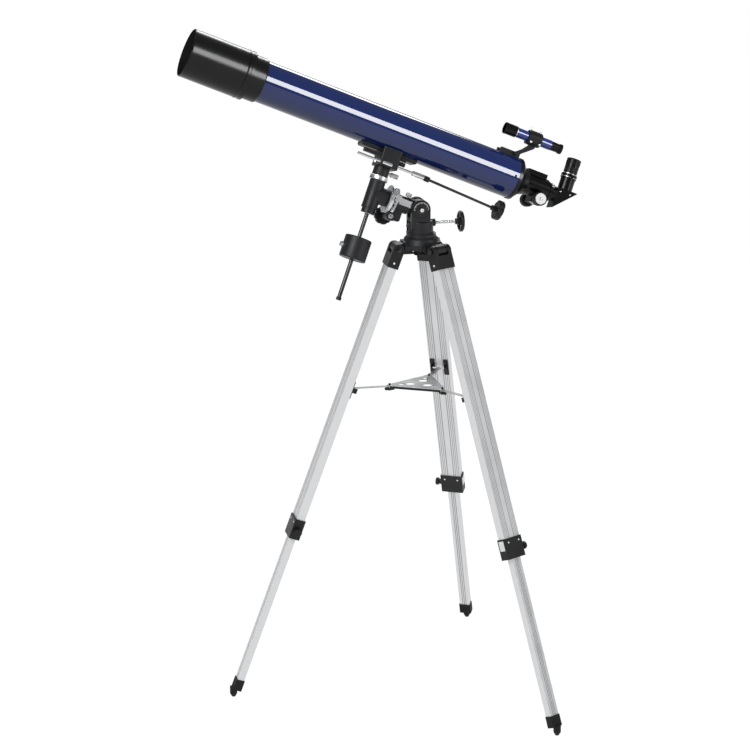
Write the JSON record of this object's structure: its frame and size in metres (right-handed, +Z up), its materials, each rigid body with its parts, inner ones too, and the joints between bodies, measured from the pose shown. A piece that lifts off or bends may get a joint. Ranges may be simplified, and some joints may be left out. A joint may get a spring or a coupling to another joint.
{
  "type": "refracting telescope on equatorial mount",
  "caption": "Long achromatic refractor on a German equatorial mount with counterweight, slow-motion control, star diagonal and extending aluminium tripod.",
  "frame": {"origin": "on the floor, midway along and across the object's bounding box", "axes": "+Z up; +X the way the mount's worm and handwheel point in plan, away from the front lens; the tripod's leg 1 is toward -X, legs 2 and 3 toward +X; the polar axis lies in the XZ plane"},
  "size_m": [0.9862, 0.8366, 1.6404],
  "materials": {
    "navy_lacquer": "gloss lacquer",
    "black_satin": "satin black paint",
    "charcoal_cast": "fine textured charcoal paint",
    "weight_iron": "charcoal powder coat",
    "bright_steel": "polished",
    "silver_aluminium": "satin anodised",
    "black_plastic": "moulded black",
    "grip_rubber": "matt",
    "lens_glass": "coated",
    "mirror": "first-surface",
    "finder_blue": "gloss lacquer"
  },
  "bodies": {
    "tripod": {"hub": "charcoal_cast", "hinge_bolts": "bright_steel", "leg_fittings": "black_plastic", "leg_rails": "silver_aluminium", "brace_fittings": "black_plastic", "brace_arms": "silver_aluminium", "tray": "silver_aluminium"},
    "mount_clamp": {"mount_knob": "black_plastic"},
    "azimuth_base": {"mount_base": "charcoal_cast", "latitude_bolt": "bright_steel"},
    "latitude_nose": {"latitude_pad": "bright_steel"},
    "latitude_handwheel": {"latitude_screw": "bright_steel"},
    "polar_head": {"polar_housing": "charcoal_cast", "ra_pointer": "silver_aluminium"},
    "ra_clamp": {"ra_lock": "bright_steel"},
    "ra_drive": {"ra_worm": "bright_steel", "ra_knob": "black_plastic"},
    "dec_head": {"axis_wheels": "bright_steel", "setting_circles": "silver_aluminium", "dec_housing": "charcoal_cast"},
    "telescope": {"dec_shaft": "bright_steel", "saddle": "charcoal_cast", "main_tube": "navy_lacquer", "tube_plate": "black_satin", "objective_cell": "black_satin", "objective_lens": "lens_glass", "baffles": "black_satin", "rear_cell": "black_satin", "focuser_body": "black_satin", "finder_shoe": "black_satin"},
    "dec_clamp": {"dec_lock": "bright_steel"},
    "dec_drive": {"dec_worm": "bright_steel"},
    "slow_motion": {"control_shaft": "bright_steel", "control_knob": "black_plastic"},
    "weight": {"counterweight": "weight_iron"},
    "weight_clamp": {"counterweight_screw": "bright_steel"},
    "hood": {"dew_shield": "black_satin"},
    "draw": {"drawtube": "bright_steel", "draw_screws": "bright_steel"},
    "focus_drive": {"focus_shaft": "grip_rubber", "focus_caps": "silver_aluminium"},
    "focus_clamp": {"focus_lock": "bright_steel"},
    "mirror_unit": {"diagonal": "black_satin", "diagonal_mirror": "mirror"},
    "ocular": {"eyepiece": "black_satin", "eyepiece_lens": "lens_glass"},
    "finder": {"finder_tube": "finder_blue", "finder_cells": "black_satin", "finder_lens": "lens_glass", "finder_bracket": "black_satin", "finder_screws": "bright_steel"},
    "inner_leg_1": {"inner_leg_1": "silver_aluminium", "foot_1": "grip_rubber"},
    "leg_clamp_1": {"leg_lock_1": "black_plastic"},
    "inner_leg_2": {"inner_leg_2": "silver_aluminium", "foot_2": "grip_rubber"},
    "leg_clamp_2": {"leg_lock_2": "black_plastic"},
    "inner_leg_3": {"inner_leg_3": "silver_aluminium", "foot_3": "grip_rubber"},
    "leg_clamp_3": {"leg_lock_3": "black_plastic"}
  },
  "joints": [
    {"name": "mount_clamp_turn", "type": "hinge", "parent": "tripod", "child": "mount_clamp", "pos_m": [0.0776, 0, 1.098], "axis": [0, 0, 1], "range_deg": [0, 270]},
    {"name": "azimuth_turn", "type": "hinge", "parent": "tripod", "child": "azimuth_base", "pos_m": [0.0776, 0, 1.146], "axis": [0, 0, 1], "continuous": true},
    {"name": "latitude_tilt", "type": "hinge", "parent": "azimuth_base", "child": "polar_head", "pos_m": [0.07395, 0, 1.20632], "axis": [0, 1, 0], "range_deg": [-7, 32]},
    {"name": "latitude_feed", "type": "slide", "parent": "azimuth_base", "child": "latitude_nose", "axis": [-1, 0, 0], "range_m": [-0.0052, 0.023]},
    {"name": "latitude_screw_turn", "type": "hinge", "parent": "latitude_nose", "child": "latitude_handwheel", "pos_m": [0.1786, 0, 1.1695], "axis": [-1, 0, 0], "range_deg": [-1500, 6700]},
    {"name": "ra_clamp_turn", "type": "hinge", "parent": "polar_head", "child": "ra_clamp", "pos_m": [0.0483, 0, 1.23409], "axis": [0.3811, 0, 0.9245], "range_deg": [0, 180]},
    {"name": "ra_turn", "type": "hinge", "parent": "polar_head", "child": "dec_head", "pos_m": [-0.0359, 0, 1.245], "axis": [-0.9245, 0, 0.3811], "range_deg": [-100, 75]},
    {"name": "ra_worm_turn", "type": "hinge", "parent": "polar_head", "child": "ra_drive", "pos_m": [-0.00198, -0.00588, 1.19085], "axis": [-0.0596, 0.9877, -0.1446], "range_deg": [-6100, 4600]},
    {"name": "dec_turn", "type": "hinge", "parent": "dec_head", "child": "telescope", "pos_m": [-0.0359, 0, 1.245], "axis": [0.3723, 0.213, 0.9033], "continuous": true},
    {"name": "dec_clamp_turn", "type": "hinge", "parent": "telescope", "child": "dec_clamp", "pos_m": [0.00714, 0.01193, 1.28644], "axis": [0.9245, 0, -0.3811], "range_deg": [0, 180]},
    {"name": "dec_worm_turn", "type": "hinge", "parent": "telescope", "child": "dec_drive", "pos_m": [-0.00591, -0.01355, 1.31776], "axis": [0.9245, 0, -0.3811], "continuous": true},
    {"name": "control_turn", "type": "hinge", "parent": "telescope", "child": "slow_motion", "pos_m": [0.07036, -0.01355, 1.28632], "axis": [0.9067, -0.0097, -0.4217], "continuous": true},
    {"name": "counterweight_slide", "type": "slide", "parent": "telescope", "child": "weight", "axis": [-0.3723, -0.213, -0.9033], "range_m": [-0.055, 0.085]},
    {"name": "counterweight_clamp_turn", "type": "hinge", "parent": "weight", "child": "weight_clamp", "pos_m": [-0.1164, -0.0294, 1.13234], "axis": [-0.9245, 0, 0.3811], "range_deg": [0, 270]},
    {"name": "dew_shield_slide", "type": "slide", "parent": "telescope", "child": "hood", "axis": [-0.9245, 0, 0.3811], "range_m": [0, 0.05]},
    {"name": "draw_slide", "type": "slide", "parent": "telescope", "child": "draw", "axis": [0.9245, 0, -0.3811], "range_m": [-0.0005, 0.06]},
    {"name": "focus_turn", "type": "hinge", "parent": "telescope", "child": "focus_drive", "pos_m": [0.36714, 0.02642, 1.20992], "axis": [-0.0812, 0.977, -0.197], "range_deg": [-15, 500]},
    {"name": "focus_clamp_turn", "type": "hinge", "parent": "telescope", "child": "focus_clamp", "pos_m": [0.38062, 0.04048, 1.27411], "axis": [0.3723, 0.213, 0.9033], "range_deg": [0, 180]},
    {"name": "diagonal_turn", "type": "hinge", "parent": "draw", "child": "mirror_unit", "pos_m": [0.40975, 0.03281, 1.22406], "axis": [0.9245, 0, -0.3811], "continuous": true},
    {"name": "eyepiece_slide", "type": "slide", "parent": "mirror_unit", "child": "ocular", "axis": [0.3723, 0.213, 0.9033], "range_m": [0, 0.03]},
    {"name": "finder_slide", "type": "slide", "parent": "telescope", "child": "finder", "axis": [-0.9245, 0, 0.3811], "range_m": [0, 0.045]},
    {"name": "leg_slide_1", "type": "slide", "parent": "tripod", "child": "inner_leg_1", "axis": [-0.3476, 0, -0.9377], "range_m": [-0.35, 0.22]},
    {"name": "leg_clamp_turn_1", "type": "hinge", "parent": "tripod", "child": "leg_clamp_1", "pos_m": [-0.23362, -0.037, 0.42621], "axis": [0, -1, 0], "range_deg": [0, 270]},
    {"name": "leg_slide_2", "type": "slide", "parent": "tripod", "child": "inner_leg_2", "axis": [0.1738, -0.301, -0.9377], "range_m": [-0.35, 0.22]},
    {"name": "leg_clamp_turn_2", "type": "hinge", "parent": "tripod", "child": "leg_clamp_2", "pos_m": [0.26975, -0.25362, 0.42621], "axis": [0.866, 0.5, 0], "range_deg": [0, 270]},
    {"name": "leg_slide_3", "type": "slide", "parent": "tripod", "child": "inner_leg_3", "axis": [0.1738, 0.301, -0.9377], "range_m": [-0.35, 0.22]},
    {"name": "leg_clamp_turn_3", "type": "hinge", "parent": "tripod", "child": "leg_clamp_3", "pos_m": [0.20567, 0.29062, 0.42621], "axis": [-0.866, 0.5, 0], "range_deg": [0, 270]}
  ],
  "couplings": [
    {"joint": "latitude_feed", "follows": "latitude_tilt", "m_per_rad": 0.0405},
    {"joint": "latitude_screw_turn", "follows": "latitude_tilt", "ratio": 203.57},
    {"joint": "ra_worm_turn", "follows": "ra_turn", "ratio": 60},
    {"joint": "dec_worm_turn", "follows": "dec_turn", "ratio": 60},
    {"joint": "control_turn", "follows": "dec_turn", "ratio": 60},
    {"joint": "focus_turn", "follows": "draw_slide", "rad_per_m": 142.86}
  ]
}
